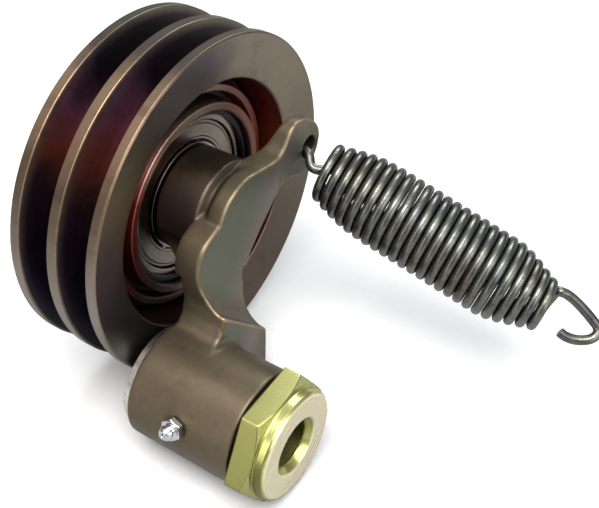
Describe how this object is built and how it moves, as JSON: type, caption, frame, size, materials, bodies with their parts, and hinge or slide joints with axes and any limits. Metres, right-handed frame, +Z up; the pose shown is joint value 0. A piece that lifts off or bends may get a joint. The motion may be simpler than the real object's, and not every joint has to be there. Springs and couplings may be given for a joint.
{
  "type": "belt tensioner idler",
  "caption": "Spring-loaded idler for V-belts: a grooved pulley on a ball bearing, carried by a cast arm that swings on a greased pivot shaft with a hex head.",
  "frame": {"origin": "centre of the pivot shaft's rear end face, on the pivot axis", "axes": "+Y along the pivot axis towards the rear, where the shaft's free end is; the hex head faces -Y; +Z up; the pulley's axis is parallel to Y, up and to +X"},
  "size_m": [0.1245, 0.1666, 0.1267],
  "materials": {
    "plated_pulley": "dark bronze plated, turned, worn bright on the flange edges",
    "cast_metal": "brown-olive plated casting, satin",
    "yellow_zinc": "yellow zinc plated, machined",
    "white_zinc": "bright zinc plated",
    "bearing_steel": "ground steel",
    "shield_steel": "pressed and turned steel sheet",
    "cage_brass": "dull",
    "bush_brass": "sintered, oiled",
    "plain_steel": "plain",
    "black_steel": "black oxide",
    "spring_steel": "drawn wire, oiled"
  },
  "bodies": {
    "pivot": {"pivot_shaft": "yellow_zinc", "rear_thrust_collar": "white_zinc", "front_thrust_washer": "bush_brass"},
    "arm": {"arm_casting": "cast_metal", "front_bush": "bush_brass", "rear_bush": "bush_brass", "grease_fitting_body": "white_zinc", "grease_check_spring": "plain_steel", "bearing_inner_ring": "bearing_steel", "bearing_flat_washer": "plain_steel", "bearing_lock_washer": "black_steel", "bearing_bolt": "yellow_zinc"},
    "pulley": {"pulley_sheave": "plated_pulley", "bearing_outer_ring": "bearing_steel", "bearing_front_shield": "shield_steel", "bearing_rear_shield": "shield_steel", "pulley_snap_ring": "black_steel"},
    "cage": {"bearing_cage": "cage_brass", "bearing_ball_1": "bearing_steel", "bearing_ball_2": "bearing_steel", "bearing_ball_3": "bearing_steel", "bearing_ball_4": "bearing_steel", "bearing_ball_5": "bearing_steel", "bearing_ball_6": "bearing_steel", "bearing_ball_7": "bearing_steel", "bearing_ball_8": "bearing_steel", "bearing_ball_9": "bearing_steel"},
    "spring": {"tension_spring": "spring_steel"},
    "check_ball": {"grease_check_ball": "bearing_steel"}
  },
  "joints": [
    {"name": "arm_pivot", "type": "hinge", "parent": "pivot", "child": "arm", "pos_m": [0, -0.0225, 0], "axis": [0, 1, 0], "range_deg": [-30, 30]},
    {"name": "pulley_spin", "type": "hinge", "parent": "arm", "child": "pulley", "pos_m": [0.0389, 0.0225, 0.0457], "axis": [0, 1, 0], "continuous": true},
    {"name": "cage_orbit", "type": "hinge", "parent": "arm", "child": "cage", "pos_m": [0.0389, 0.0225, 0.0457], "axis": [0, 1, 0], "continuous": true},
    {"name": "spring_swing", "type": "hinge", "parent": "arm", "child": "spring", "pos_m": [0.071, -0.0095, 0.0531], "axis": [1, 0, 0], "range_deg": [-20, 15]},
    {"name": "grease_check", "type": "slide", "parent": "arm", "child": "check_ball", "axis": [0.9455, 0, -0.3256], "range_m": [0, 0.0004]}
  ],
  "couplings": [
    {"joint": "cage_orbit", "follows": "pulley_spin", "ratio": 0.6035}
  ]
}
